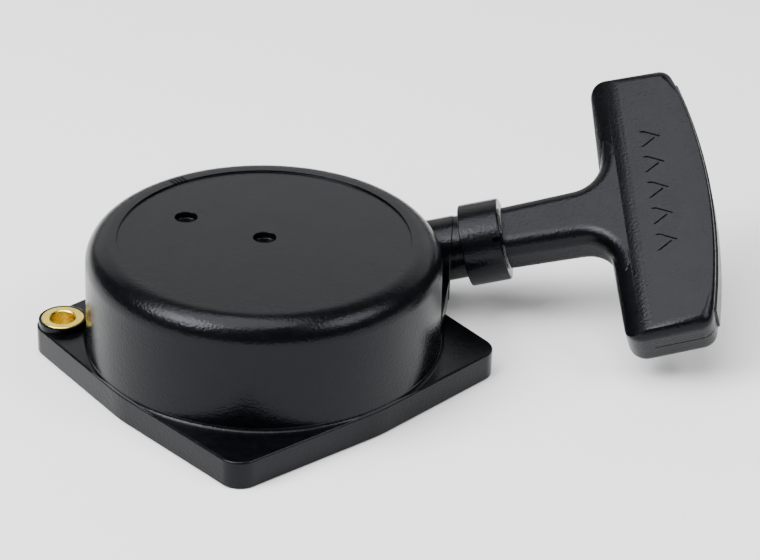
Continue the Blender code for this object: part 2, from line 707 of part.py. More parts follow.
def handle_outline():
    """T outline in the (u, v) plane, run round anticlockwise."""
    lower = [(STEM_START - STEM_TRIM, -STEM_HALF, 0), (STEM_WIDE_AT, -STEM_HALF_WIDE, 0)]
    lower += [(GRIP_INNER - 0.5, -STEM_HALF_WIDE - 0.5, FLARE_R)]
    lower += [(GRIP_INNER + 0.5, -GRIP_HALF - 0.4, GRIP_INNER_CORNER_R)]
    lower += [(GRIP_OUTER_END, -GRIP_HALF + 0.4, GRIP_OUTER_CORNER_R)]
    convex = [(u, v, 0) for u, v in outer_arc(0, GRIP_HALF * GRIP_ARC_SHARE, 10)]
    upper = [(u, -v, r) for u, v, r in reversed(lower)]
    return rounded(lower + convex + upper, 4)


def make_handle():
    body = soft_prism(handle_outline(), GRIP_HALF_T, GRIP_EDGE_R, GRIP_EDGE_STEPS)
    handle = add_object("handle_body", body, BLACK_GRIP, HANDLE_FRAME)
    trim = [(0, -20), (STEM_START, -20), (STEM_START, 20), (0, 20)]
    combine(handle, add_object("cut_stem_end", prism(trim, -20, 20), place=HANDLE_FRAME))
    start, past = STEM_START - PAST, GRIP_OUTER_MID + 5
    bore = [(0, start), (STEM_BORE_R, start), (STEM_BORE_R, POCKET_START), (POCKET_R, POCKET_START)]
    bore += [(POCKET_R, past), (0, past)]
    combine(handle, add_object("cut_rope_way", turned(bore, 24), place=NECK_FRAME))
    slot = outer_arc(3.0, CAP_HALF_LENGTH, 12) + outer_arc(-CAP_DEPTH, CAP_HALF_LENGTH, 12)[::-1]
    tool = add_object("cut_cap_slot", prism(slot, -CAP_HALF_WIDTH, CAP_HALF_WIDTH), place=HANDLE_FRAME)
    combine(handle, tool)

    strip_half = CAP_HALF_LENGTH - GAP
    strip = outer_arc(CAP_PROUD, strip_half, 12) + outer_arc(GAP - CAP_DEPTH, strip_half, 12)[::-1]
    width = CAP_HALF_WIDTH - GAP
    cap = add_object("handle_cap", prism(strip, -width, width), BLACK_GRIP, HANDLE_FRAME)
    plug = plain_pin(width - 0.1, CAP_PLUG_START, GRIP_OUTER_MID - 0.4, 20)
    combine(cap, add_object("add_plug", plug, place=NECK_FRAME), "UNION")

    low = POCKET_START + GAP
    high = low + KNOT_WASHER_T
    inner, outer = ROPE_R + 0.4, POCKET_R - 0.4
    washer = [(inner, low), (outer, low), (outer, high), (inner, high)]
    add_object("knot_washer", turned(washer, 24), STEEL, NECK_FRAME)
    place = NECK_FRAME @ Matrix.Translation((0, 0, (high + GAP + HANDLE_KNOT_R) * MM))
    add_object("handle_knot", ball(HANDLE_KNOT_R, 8, 14), ROPE, place)


clear_scene()
make_housing()
make_housing_fittings()
make_spring_pack()
make_reel()
make_rope()
make_pawls()
make_centre()
make_handle()
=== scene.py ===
"""Looks of the recoil starter: moulded meshes, materials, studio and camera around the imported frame.

Millimetres are used for sizes and turned into metres where meshes are made. +Z is up out of the cup, the
origin is on the reel axis in the flange's mounting plane, and +X points at the handle.
"""

import json
import math

import bmesh
import bpy
from mathutils import Matrix, Vector


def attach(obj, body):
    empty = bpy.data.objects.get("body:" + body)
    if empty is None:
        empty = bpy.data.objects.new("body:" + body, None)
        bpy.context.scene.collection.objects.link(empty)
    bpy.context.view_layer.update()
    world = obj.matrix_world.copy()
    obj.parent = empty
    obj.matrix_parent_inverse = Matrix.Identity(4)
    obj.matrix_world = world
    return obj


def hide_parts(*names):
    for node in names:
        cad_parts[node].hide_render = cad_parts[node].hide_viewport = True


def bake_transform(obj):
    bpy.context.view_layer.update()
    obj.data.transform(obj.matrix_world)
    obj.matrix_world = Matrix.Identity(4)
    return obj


MM = 0.001
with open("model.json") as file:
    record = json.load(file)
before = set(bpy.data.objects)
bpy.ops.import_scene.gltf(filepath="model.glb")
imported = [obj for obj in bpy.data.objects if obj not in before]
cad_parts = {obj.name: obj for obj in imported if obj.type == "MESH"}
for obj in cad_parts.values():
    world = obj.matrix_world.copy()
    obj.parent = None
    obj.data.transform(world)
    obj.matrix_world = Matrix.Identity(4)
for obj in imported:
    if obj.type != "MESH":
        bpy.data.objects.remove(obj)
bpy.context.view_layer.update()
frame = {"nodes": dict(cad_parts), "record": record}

# Cup and flange
CUP_R_BASE = 48.0
CUP_R_TOP = 47.5
CUP_HEIGHT = 38.4
SHOULDER_R = 6.8
RECESS_R = 39.0
RECESS_DEPTH = 0.5
FOOT_R = 1.2
CAVITY_R_BASE = 45.3
CAVITY_R_TOP = 44.8
CAVITY_TOP = 35.4
CAVITY_EDGE_R = 4.3
DIMPLE_R = 3.05
DIMPLE_DEPTH = 1.9
SIDE_DIMPLE = (-22.2, 9.0)
TICK_ANGLES = (130.2, 131.9, 133.6, 135.3)
TICK_HALF = 0.28
FLANGE_T = 7.8
FLANGE_EDGE_R = 0.6
FLANGE_CIRCLE_R = 48.2
CORNER_DISTANCE = 56.2
CORNER_R = 6.0
BOLT_DISTANCE = 55.15
SLEEVE_CORNERS = (("left", 180), ("rear", 90))
SOCKET_CORNERS = (("right", 0), ("front", -90))
SOCKET_R = 2.1
BOSS_R = 6.5
BOSS_TOP = 9.8
SLEEVE_R = 5.95
SLEEVE_BORE_R = 3.35
POST_R = 7.0
POST_BORE_R = 4.2
POST_BOTTOM = 4.6

# Rope line, outlet and collar
COIL_R = 35.2
PULL_TILT = math.radians(15.5)
PULL_START = Vector((46.0, COIL_R, 17.8))
BLOCK_R = 9.15
BLOCK_END_X = 49.6
BLOCK_BOTTOM = 6.95
NECK_R = 8.9
NECK_END = 17.5
NECK_BORE_R = 6.3
ROPE_R = 1.6
ROPE_TURNS = 4
REEL_MIDDLE = 16.0
LEAD_START = -4.2
LEAD_END = 62.0
COLLAR_START = 7.7
COLLAR_END = 19.0
COLLAR_R = 11.6

# Handle: u along the rope, v along the grip, n out of the broad face
HANDLE_TURN = math.radians(61.0)
STEM_START = 19.4
STEM_HALF = 7.7
STEM_HALF_WIDE = 8.6
STEM_WIDE_AT = 38.0
FLARE_R = 9.0
GRIP_HALF = 43.4
GRIP_INNER = 48.4
GRIP_OUTER_MID = 77.5
GRIP_OUTER_END = 71.9
GRIP_HALF_T = 7.75
GRIP_EDGE_R = 3.6
STEM_EDGE_R = 4.6
STEM_HALF_T = 6.9
CROWN_MIDDLE = 64.0
CROWN_R = 190.0
ROLL_END = 58.5
ROLL_WIDTH = 10.9
POCKET_START = 59.5
POCKET_R = 6.0
CAP_HALF_LENGTH = 38.0
CAP_HALF_WIDTH = 4.8
MARK_U = 64.6
MARK_FIRST_V = 19.3
MARK_PITCH = 8.7
MARK_DEPTH = 0.4

# Camera: degrees round from the front, up and of roll, then millimetres
CAMERA_TURN, CAMERA_RISE, CAMERA_ROLL = 2.4, 29.21, 2.04
CAMERA_TARGET = (30.94, 1.30, 26.16)
CAMERA_DISTANCE = 570.5
CAMERA_LENS = 100.9


# ---------------------------------------------------------------- mesh helpers


def turned(profile, steps=128):
    """Closed solid of revolution about Z from a closed (r, z) outline in millimetres."""
    made = bmesh.new()
    rings = []
    for r, z in profile:
        if r == 0:
            rings.append([made.verts.new((0, 0, z * MM))] * steps)
            continue
        ring = []
        for k in range(steps):
            a = 2 * math.pi * k / steps
            ring.append(made.verts.new((r * MM * math.cos(a), r * MM * math.sin(a), z * MM)))
        rings.append(ring)
    for low, high in zip(rings, rings[1:] + rings[:1]):
        for k in range(steps):
            n = (k + 1) % steps
            corners = list(dict.fromkeys([low[k], low[n], high[n], high[k]]))
            if len(corners) > 2:
                made.faces.new(corners)
    return made


def lofted(rings):
    """Closed solid through rings of equally many points in millimetres."""
    made = bmesh.new()
    rows = [[made.verts.new(Vector(p) * MM) for p in ring] for ring in rings]
    made.faces.new(rows[0])
    made.faces.new(rows[-1])
    for low, high in zip(rows, rows[1:]):
        for k in range(len(low)):
            n = (k + 1) % len(low)
            made.faces.new((low[k], low[n], high[n], high[k]))
    return made


def prism(outline, z0, z1):
    return lofted([[(x, y, z) for x, y in outline] for z in (z0, z1)])


def outward(outline, k):
    """Mitred outward direction at point k of an anticlockwise outline, for a unit offset."""
    here = Vector(outline[k])
    into = (here - Vector(outline[k - 1])).normalized()
    out = (Vector(outline[(k + 1) % len(outline)]) - here).normalized()
    first = Vector((into.y, -into.x))
    second = Vector((out.y, -out.x))
    return (first + second) / (1 + first.dot(second))


def inset(outline, distance):
    return [tuple(Vector(p) - outward(outline, k) * distance) for k, p in enumerate(outline)]


def soft_prism(outline, low, high, radii, steps):
    """Upright prism on an anticlockwise outline; radii rounds its rims, (low, high) or one per point."""
    ways = [outward(outline, k) for k in range(len(outline))]
    lows, highs = (radii, radii) if len(radii) == len(outline) else [[r] * len(outline) for r in radii]
    rings = []
    for s in range(steps + 1):
        a = math.pi / 2 * s / steps
        edge = [Vector(p) - way * r * (1 - math.sin(a)) for p, way, r in zip(outline, ways, lows)]
        rings.append([(p.x, p.y, low + r * (1 - math.cos(a))) for p, r in zip(edge, lows)])
    for s in range(steps + 1):
        a = math.pi / 2 * s / steps
        edge = [Vector(p) - way * r * (1 - math.cos(a)) for p, way, r in zip(outline, ways, highs)]
        rings.append([(p.x, p.y, high - r * (1 - math.sin(a))) for p, r in zip(edge, highs)])
    return lofted(rings)


def arc(centre, radius, start, end, steps):
    """Points on an arc, angles in degrees, both ends included."""
    turn = [math.radians(start + (end - start) * k / steps) for k in range(steps + 1)]
    return [(centre[0] + radius * math.cos(a), centre[1] + radius * math.sin(a)) for a in turn]


def rounded(points, steps=6):
    """Outline whose corners are rounded; each point is (x, y, radius)."""
    made = []
    for k, (x, y, radius) in enumerate(points):
        here = Vector((x, y))
        before = (Vector(points[k - 1][:2]) - here).normalized()
        after = (Vector(points[(k + 1) % len(points)][:2]) - here).normalized()
        if radius == 0:
            made.append((x, y))
            continue
        half = before.angle(after) / 2
        centre = here + (before + after).normalized() * (radius / math.sin(half))
        reach = radius / math.tan(half)
        first = here + before * reach - centre
        last = here + after * reach - centre
        sweep = math.atan2(first.x * last.y - first.y * last.x, first.dot(last))
        for s in range(steps + 1):
            made.append(tuple(centre + Matrix.Rotation(sweep * s / steps, 2) @ first))
    return made


def piece(name, mesh_data, finish=None, place=None, sharp=32):
    """Object from a bmesh; with no finish it is a tool for a Boolean."""
    bmesh.ops.recalc_face_normals(mesh_data, faces=mesh_data.faces)
    mesh = bpy.data.meshes.new(name)
    mesh_data.to_mesh(mesh)
    mesh_data.free()
    mesh.shade_smooth()
    mesh.set_sharp_from_angle(angle=math.radians(sharp))
    made = bpy.data.objects.new(name, mesh)
    bpy.context.scene.collection.objects.link(made)
    if place is not None:
        made.matrix_world = place
    if finish is not None:
        mesh.materials.append(finish)
    return made


tools = []


def combine(target, tool, operation="DIFFERENCE"):
    """Adds a Boolean with a tool that settle() later drops."""
    modifier = target.modifiers.new(tool.name, "BOOLEAN")
    modifier.operation = operation
    modifier.solver = "MANIFOLD"
    modifier.object = tool
    tools.append(tool)


def even_normals(target):
    modifier = target.modifiers.new("even_normals", "WEIGHTED_NORMAL")
    modifier.keep_sharp = True


def settle(target, sharp=32):
    """Applies a piece's modifiers and moves its place into its mesh, then drops the Boolean tools."""
    bpy.context.view_layer.update()
    evaluated = target.evaluated_get(bpy.context.evaluated_depsgraph_get())
    mesh = bpy.data.meshes.new_from_object(evaluated)
    mesh.transform(target.matrix_world)
    mesh.shade_smooth()
    mesh.set_sharp_from_angle(angle=math.radians(sharp))
    target.modifiers.clear()
    target.data = mesh
    target.matrix_world = Matrix.Identity(4)
    even_normals(target)
    while tools:
        bpy.data.objects.remove(tools.pop())
    return target


def stands_for(made, body, slot, *nodes):
    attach(made, body)
    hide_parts(*nodes)


def frame_matrix(origin, along, across):
    """Matrix whose local X runs along and whose local Y runs across."""
    turn = Matrix((along, across, along.cross(across))).transposed().to_4x4()
    return Matrix.Translation(Vector(origin) * MM) @ turn


def circle_place(radius, degrees, z=0.0):
    a = math.radians(degrees)
    centre = Vector((radius * math.cos(a), radius * math.sin(a), z)) * MM
    return Matrix.Translation(centre) @ Matrix.Rotation(a, 4, "Z")


def turned_by(degrees):
    return Matrix.Rotation(math.radians(degrees), 4, "Z")


def pin(radius, low, high, steps=64):
    return turned([(0, low), (radius, low), (radius, high), (0, high)], steps)


PULL_AXIS = Vector((math.cos(PULL_TILT), 0.0, math.sin(PULL_TILT)))
PULL_LEVEL = Vector((0.0, 1.0, 0.0))
PULL_RISE = PULL_AXIS.cross(PULL_LEVEL)
GRIP_AXIS = PULL_RISE * math.cos(HANDLE_TURN) + PULL_LEVEL * math.sin(HANDLE_TURN)
GRIP_NORMAL = PULL_AXIS.cross(GRIP_AXIS)
HANDLE_FRAME = frame_matrix(PULL_START, PULL_AXIS, GRIP_AXIS)
NECK_FRAME = frame_matrix(PULL_START, -PULL_RISE, PULL_LEVEL)


# ---------------------------------------------------------------- materials


class Nodes:
    """Short way to write a node material on object coordinates in metres."""

    def __init__(self, name):
        self.material = bpy.data.materials.new(name)
        self.material.use_nodes = True
        self.tree = self.material.node_tree
        self.shader = self.tree.nodes["Principled BSDF"]
        self.place = self.add("ShaderNodeTexCoord").outputs["Object"]

    def add(self, kind, **settings):
        node = self.tree.nodes.new(kind)
        for key, value in settings.items():
            setattr(node, key, value)
        return node

    def link(self, source, target):
        self.tree.links.new(source, target)

    def noise(self, scale, detail=4.0, roughness=0.55):
        node = self.add("ShaderNodeTexNoise")
        node.inputs["Scale"].default_value = scale
        node.inputs["Detail"].default_value = detail
        node.inputs["Roughness"].default_value = roughness
        self.link(self.place, node.inputs["Vector"])
        return node.outputs["Fac"]

    def ramp(self, source, stops):
        node = self.add("ShaderNodeValToRGB")
        elements = node.color_ramp.elements
        while len(elements) < len(stops):
            elements.new(0.5)
        for element, (position, colour) in zip(elements, stops):
            element.position = position
            element.color = (*colour, 1.0)
        self.link(source, node.inputs["Fac"])
        return node.outputs["Color"]

    def span(self, source, low, high):
        """Maps the middle of a noise's range to low..high."""
        node = self.add("ShaderNodeMapRange")
        node.inputs["From Min"].default_value = 0.25
        node.inputs["From Max"].default_value = 0.75
        node.inputs["To Min"].default_value = low
        node.inputs["To Max"].default_value = high
        self.link(source, node.inputs["Value"])
        return node.outputs["Result"]

    def bump(self, height, distance, under=None):
        node = self.add("ShaderNodeBump")
        node.inputs["Distance"].default_value = distance
        node.inputs["Strength"].default_value = 1.0
        self.link(height, node.inputs["Height"])
        if under is not None:
            self.link(under, node.inputs["Normal"])
        return node.outputs["Normal"]

    def set(self, **values):
        for key, value in values.items():
            self.shader.inputs[key.replace("_", " ")].default_value = value


def cool_grey(value):
    """Grey a little towards blue, as carbon-filled nylon is."""
    return (value * 0.85, value, value * 1.24)


def moulded_black(name, dark, light, rough_low, rough_high, grain):
    """Satin black moulding: fine eroded grain over a faint swell, mottled colour and uneven gloss."""
    made = Nodes(name)
    mottle = made.noise(420.0, 5.0, 0.6)
    colours = [(0.32, cool_grey(dark)), (0.68, cool_grey(light))]
    made.link(made.ramp(mottle, colours), made.shader.inputs["Base Color"])
    gloss = made.span(made.noise(120.0, 6.0, 0.6), rough_low, rough_high)
    made.link(gloss, made.shader.inputs["Roughness"])
    waves = made.bump(made.noise(160.0, 2.0, 0.5), 0.000010)
    fine = made.bump(made.noise(1500.0, 1.0, 0.5), 0.00007 * grain, under=waves)
    made.link(fine, made.shader.inputs["Normal"])
    made.shader.inputs["Specular IOR Level"].default_value = 0.17
    made.shader.inputs["Specular Tint"].default_value = (0.88, 0.90, 1.0, 1.0)
    return made.material


def turned_metal(name, dark, light, rough_low, rough_high):
    """Turned or plated metal: tarnish clouds, uneven polish and a fine machined tooth."""
    made = Nodes(name)
    clouds = made.noise(300.0, 6.0, 0.6)
    made.link(made.ramp(clouds, [(0.3, dark), (0.7, light)]), made.shader.inputs["Base Color"])
    polish = made.span(made.noise(900.0, 4.0, 0.6), rough_low, rough_high)
    made.link(polish, made.shader.inputs["Roughness"])
    made.set(Metallic=1.0)
    made.link(made.bump(made.noise(3800.0, 2.0, 0.5), 0.00002), made.shader.inputs["Normal"])
    return made.material


def natural_nylon(name):
    made = Nodes(name)
    clouds = made.noise(120.0, 4.0, 0.6)
    colours = [(0.3, (0.70, 0.67, 0.58)), (0.7, (0.80, 0.78, 0.70))]
    made.link(made.ramp(clouds, colours), made.shader.inputs["Base Color"])
    made.link(made.span(made.noise(700.0), 0.38, 0.55), made.shader.inputs["Roughness"])
    made.link(made.bump(made.noise(2200.0), 0.00004), made.shader.inputs["Normal"])
    made.set(Subsurface_Weight=0.08, Subsurface_Radius=(0.002, 0.0018, 0.0014))
    return made.material


def braided_rope(name):
    """Braid of light strands with painted shade in the gaps between them, worked out from two crossed
    families of waves.
    """
    made = Nodes(name)
    families = []
    for lean in (35.0, -35.0):
        turn = made.add("ShaderNodeMapping")
        turn.inputs["Rotation"].default_value = (0.0, math.radians(lean), math.radians(lean))
        made.link(made.place, turn.inputs["Vector"])
        wave = made.add("ShaderNodeTexWave")
        wave.inputs["Scale"].default_value = 420.0
        wave.inputs["Distortion"].default_value = 1.2
        wave.inputs["Detail"].default_value = 2.0
        made.link(turn.outputs["Vector"], wave.inputs["Vector"])
        families.append(wave.outputs["Fac"])
    both = made.add("ShaderNodeMath", operation="MAXIMUM")
    made.link(families[0], both.inputs[0])
    made.link(families[1], both.inputs[1])
    strands = both.outputs["Value"]
    # The ramp's dark end is painted shade in the low gaps between strands; its light end is the strands'
    # own colour.
    colours = [(0.2, (0.30, 0.28, 0.25)), (0.8, (0.74, 0.72, 0.67))]
    made.link(made.ramp(strands, colours), made.shader.inputs["Base Color"])
    made.link(made.bump(strands, 0.00025), made.shader.inputs["Normal"])
    made.set(Roughness=0.82, Sheen_Weight=0.3)
    return made.material


BLACK_NYLON = moulded_black("black_nylon", 0.0010, 0.0024, 0.20, 0.28, 1.0)
BLACK_GRIP = moulded_black("black_grip", 0.0012, 0.0026, 0.22, 0.31, 1.1)
BRASS = turned_metal("brass", (0.84, 0.62, 0.08), (1.0, 0.83, 0.17), 0.20, 0.32)
ZINC_STEEL = turned_metal("zinc_steel", (0.50, 0.50, 0.51), (0.68, 0.69, 0.71), 0.22, 0.38)
SPRING_STEEL = turned_metal("spring_steel", (0.14, 0.17, 0.24), (0.26, 0.29, 0.36), 0.24, 0.40)
NATURAL_NYLON = natural_nylon("natural_nylon")
ROPE = braided_rope("rope")
FINISHES = {
    "black_nylon": BLACK_NYLON,
    "black_grip": BLACK_GRIP,
    "brass": BRASS,
    "zinc_steel": ZINC_STEEL,
    "spring_steel": SPRING_STEEL,
    "natural_nylon": NATURAL_NYLON,
    "rope": ROPE,
}


def finish_cad_nodes():
    """Every CAD node that stays gets its slot's material and slightly broken edges."""
    for row in frame["record"]["subparts"]:
        node = frame["nodes"][row["node"]]
        node.data.materials.clear()
        node.data.materials.append(FINISHES[row["material_slot"]])
        weld = node.modifiers.new("weld", "WELD")
        weld.merge_threshold = 0.000002
        bevel = node.modifiers.new("broken_edges", "BEVEL")
        bevel.width = 0.00012
        bevel.segments = 2
        bevel.limit_method = "ANGLE"
        bevel.angle_limit = math.radians(40)


# ---------------------------------------------------------------- housing


def flange_outline():
    """Circle and four corner circles wrapped by their common tangents."""
    half = math.degrees(math.acos((FLANGE_CIRCLE_R - CORNER_R) / CORNER_DISTANCE))
    points = []
    for turn in (0.0, 90.0, 180.0, 270.0):
        a = math.radians(turn)
        centre = (CORNER_DISTANCE * math.cos(a), CORNER_DISTANCE * math.sin(a))
        points += arc(centre, CORNER_R, turn - half, turn + half, 28)
        points += arc((0, 0), FLANGE_CIRCLE_R, turn + half, turn + 90 - half, 6)
    return points


def cup_profile():
    """Outer skin of the cup with the fillet at its foot, the recessed top and its centre dimple."""
    top = CUP_HEIGHT - RECESS_DEPTH
    shoulder = arc((CUP_R_TOP - SHOULDER_R, CUP_HEIGHT - SHOULDER_R), SHOULDER_R, 0, 90, 20)
    side = [(0, 0.2), (CUP_R_BASE - 0.6, 0.2), (CUP_R_BASE - 0.6, FLANGE_T - 0.9)]
    side += [(CUP_R_BASE - 0.1 + FOOT_R, FLANGE_T - 0.9)]
    side += arc((CUP_R_BASE - 0.1 + FOOT_R, FLANGE_T + FOOT_R), FOOT_R, -90, -180, 8)
    side += shoulder
    side += arc((RECESS_R + 0.12, CUP_HEIGHT - 0.12), 0.12, 90, 180, 3)
    side += arc((RECESS_R - 0.1, top + 0.1), 0.1, 0, -90, 3)
    side += arc((DIMPLE_R + 0.2, top - 0.2), 0.2, 90, 180, 4)
    side += arc((DIMPLE_R - 0.3, top - DIMPLE_DEPTH + 0.3), 0.3, 0, -90, 4)
    side += [(0, top - DIMPLE_DEPTH)]
    return side


def outlet_block():
    """Block round the neck's root: a half-round roof along the rope line on straight sides."""
    rings = []
    edge = 0.5
    turns = [math.pi / 2 * s / 4 for s in range(1, 5)]
    stations = [(-34.0, 0.0), (0.0, 0.0)] + [(edge * math.sin(a), edge * (1 - math.cos(a))) for a in turns]
    for distance, shrink in stations:
        radius = BLOCK_R - shrink
        x = BLOCK_END_X - edge + distance
        points = []
        for k in range(33):
            a = math.pi * k / 32
            start = PULL_START + (PULL_LEVEL * math.cos(a) + PULL_RISE * math.sin(a)) * radius
            points.append(start + PULL_AXIS * ((x - start.x) / PULL_AXIS.x))
        points.append(Vector((x, points[-1].y, BLOCK_BOTTOM)))
        points.append(Vector((x, points[0].y, BLOCK_BOTTOM)))
        rings.append(points)
    return lofted(rings)


def engrave_side_dimple(housing):
    top = CUP_HEIGHT - RECESS_DEPTH
    side = [(0, top - DIMPLE_DEPTH)]
    side += arc((DIMPLE_R - 0.3, top - DIMPLE_DEPTH + 0.3), 0.3, -90, 0, 4)
    side += arc((DIMPLE_R + 0.2, top - 0.2), 0.2, 180, 90, 4)
    side += [(DIMPLE_R + 0.2, top + 1), (0, top + 1)]
    place = Matrix.Translation(Vector((*SIDE_DIMPLE, 0)) * MM)
    combine(housing, piece("tool_dimple", turned(side, 64), place=place))


def make_housing():
    housing = piece("housing_moulding", turned(cup_profile(), 256), BLACK_NYLON)
    outline = flange_outline()
    flange = piece("tool_flange", soft_prism(outline, 0, FLANGE_T, (0.25, FLANGE_EDGE_R), 5))
    combine(housing, piece("tool_foot_trim", prism(inset(outline, 0.15), -1, 60)), "INTERSECT")
    combine(housing, flange, "UNION")
    combine(housing, piece("tool_block", outlet_block()), "UNION")
    side = COIL_R - BLOCK_R
    web = [(42.0, -4.0), (CUP_R_BASE - 0.13, 2.0), (BLOCK_END_X - 0.27, side + 0.5), (36.0, side + 2)]
    combine(housing, piece("tool_web", prism(web, FLANGE_T - 1.05, 13.4)), "UNION")
    neck = pin(NECK_R, -30, NECK_END, 96)
    combine(housing, piece("tool_neck", neck, place=NECK_FRAME), "UNION")
    boss = [(0, 0.5), (BOSS_R, 0.5), (BOSS_R, BOSS_TOP - 0.3), (BOSS_R - 0.1, BOSS_TOP - 0.1)]
    boss += [(BOSS_R - 0.3, BOSS_TOP), (0, BOSS_TOP)]
    for name, turn in SLEEVE_CORNERS:
        tool = piece("tool_boss_" + name, turned(boss, 96), place=circle_place(BOLT_DISTANCE, turn))
        combine(housing, tool, "UNION")

    ceiling = arc((CAVITY_R_TOP - CAVITY_EDGE_R, CAVITY_TOP - CAVITY_EDGE_R), CAVITY_EDGE_R, 0, 90, 8)
    cavity = [(0, -1), (CAVITY_R_BASE, -1), *ceiling, (POST_R, CAVITY_TOP)]
    cavity += [(POST_R, POST_BOTTOM), (0, POST_BOTTOM)]
    combine(housing, piece("tool_cavity", turned(cavity, 160)))
    combine(housing, piece("tool_post_bore", pin(POST_BORE_R, POST_BOTTOM - 1, 24)))
    combine(housing, piece("tool_neck_bore", pin(NECK_BORE_R, -26, NECK_END + 1), place=NECK_FRAME))
    for name, turn in SLEEVE_CORNERS:
        hole = pin(SLEEVE_R + 0.05, -1, 12, 96)
        combine(housing, piece("tool_hole_" + name, hole, place=circle_place(BOLT_DISTANCE, turn)))
    for name, turn in SOCKET_CORNERS:
        corner = circle_place(BOLT_DISTANCE, turn)
        combine(housing, piece("tool_socket_" + name, pin(SOCKET_R, -1, 6), place=corner))
    engrave_side_dimple(housing)
    near, far = RECESS_R - 0.6, RECESS_R + 2.6
    tick = [(near, -TICK_HALF), (far, -TICK_HALF), (far, TICK_HALF), (near, TICK_HALF)]
    for number, angle in enumerate(TICK_ANGLES):
        groove = prism(tick, CUP_HEIGHT - 0.6, CUP_HEIGHT + 1)
        combine(housing, piece(f"tool_tick_{number}", groove, place=turned_by(angle)))
    settle(housing, 26)
    stands_for(housing, "root", "black_nylon", "housing")


def make_sleeves():
    """Brass compression sleeves with well rounded mouths."""
    side = [(SLEEVE_BORE_R, 0.3), (SLEEVE_BORE_R + 0.3, 0), (SLEEVE_R - 0.3, 0), (SLEEVE_R, 0.3)]
    side += arc((SLEEVE_R - 0.5, BOSS_TOP - 0.5), 0.5, 0, 90, 6)
    side += arc((SLEEVE_BORE_R + 0.7, BOSS_TOP - 0.7), 0.7, 90, 180, 6)
    for name, turn in SLEEVE_CORNERS:
        made = piece("brass_sleeve_" + name, turned(side, 96), BRASS, circle_place(BOLT_DISTANCE, turn), 60)
        settle(made, 60)
        stands_for(made, "root", "brass", "mounting_sleeve_" + name)


def make_collar():
    wall = NECK_END + 0.3
    side = [(NECK_R + 0.05, COLLAR_START + 0.2), (NECK_R + 0.25, COLLAR_START)]
    side += arc((COLLAR_R - 0.4, COLLAR_START + 0.4), 0.4, -90, 0, 5)
    side += arc((COLLAR_R - 0.6, COLLAR_END - 0.6), 0.6, 0, 90, 6)
    side += [(4.3, COLLAR_END), (4.0, COLLAR_END - 0.3), (4.0, wall), (NECK_R + 0.05, wall)]
    collar = piece("collar_moulding", turned(side, 128), BLACK_NYLON, NECK_FRAME)
    mark = [(-0.6, COLLAR_R - 2), (0.6, COLLAR_R - 2), (0.6, 13.0), (-0.6, 13.0)]
    notch = prism(mark, COLLAR_END - 2.2, COLLAR_END + 1)
    combine(collar, piece("tool_notch", notch, place=NECK_FRAME @ turned_by(152.0)))
    settle(collar)
    stands_for(collar, "root", "black_nylon", "outlet_collar")


# ---------------------------------------------------------------- handle


def outer_arc(offset, half, steps):
    """Points on the grip's convex outer side, as (u, v), moved outwards by offset."""
    sag = GRIP_OUTER_MID - GRIP_OUTER_END
    radius = (GRIP_HALF**2 + sag**2) / (2 * sag)
    limit = math.degrees(math.asin(half / (radius + offset)))
    return arc((GRIP_OUTER_MID - radius, 0), radius + offset, -limit, limit, steps)


def bar_outline():
    """Outline of the cross bar in the (u, v) plane, run round anticlockwise."""
    lower = [(GRIP_INNER + 0.5, -GRIP_HALF - 0.4, 5.0), (GRIP_OUTER_END, -GRIP_HALF + 0.4, 4.0)]
    convex = [(u, v, 0) for u, v in outer_arc(0, GRIP_HALF * 0.84, 48)]
    upper = [(u, -v, r) for u, v, r in reversed(lower)]
    return rounded(lower + convex + upper + [(GRIP_INNER - 0.7, 0, 0)], 14)


def stem_outline():
    """Outline of the stem with its flares, which end inside the bar."""
    lower = [(STEM_START - 8.0, -STEM_HALF, 0), (STEM_WIDE_AT, -STEM_HALF_WIDE, 0)]
    lower += [(GRIP_INNER - 0.5, -STEM_HALF_WIDE - 0.5, FLARE_R), (GRIP_INNER + 0.9, -24, 0), (60, -24, 0)]
    upper = [(u, -v, r) for u, v, r in reversed(lower)]
    return rounded(lower + upper, 16)


def crown_outline():
    """Side view (u, n) of the bar: domed broad faces that roll into a rounded finger side."""
    upper = []
    for k in range(25):
        a = math.pi / 2 * k / 24
        upper.append((ROLL_END - ROLL_WIDTH * math.cos(a), dome(ROLL_END) * math.sin(a) ** 0.9 + 0.001))
    for k in range(1, 33):
        u = ROLL_END + (GRIP_OUTER_MID + 6 - ROLL_END) * k / 32
        upper.append((u, dome(u)))
    return [(u, -n) for u, n in upper] + upper[::-1]


def dome(u):
    return GRIP_HALF_T + 0.05 - max(u - CROWN_MIDDLE, 0.0) ** 2 / (2 * CROWN_R)


def smooth(value, start, end):
    t = min(max((value - start) / (end - start), 0.0), 1.0)
    return t * t * (3 - 2 * t)


def parting_strip():
    """Strip round the bar's ends and outer side where the mould halves meet, as (u, v)."""
    outline = bar_outline()
    path = [(p, outward(outline, k)) for k, p in enumerate(outline) if p[0] > 60]
    path = [((56, -GRIP_HALF - 0.15), Vector((0, -1)))] + path + [((56, GRIP_HALF + 0.15), Vector((0, 1)))]
    outer = [tuple(Vector(p) + way) for p, way in path]
    inner = [tuple(Vector(p) - way * 0.35) for p, way in path]
    return outer + inner[::-1]


def chevron(centre_v):
    """Open arrow mark pointing along the pull, drawn as one bent stroke."""
    half, reach, stroke = 2.7, 4.6, 1.0
    tip = MARK_U + reach / 2
    outer, inner = tip - reach, tip - reach - stroke * 1.5
    upper = [(tip, centre_v), (outer, centre_v + half), (inner, centre_v + half)]
    lower = [(tip - stroke * 1.8, centre_v), (inner, centre_v - half), (outer, centre_v - half)]
    return upper + lower


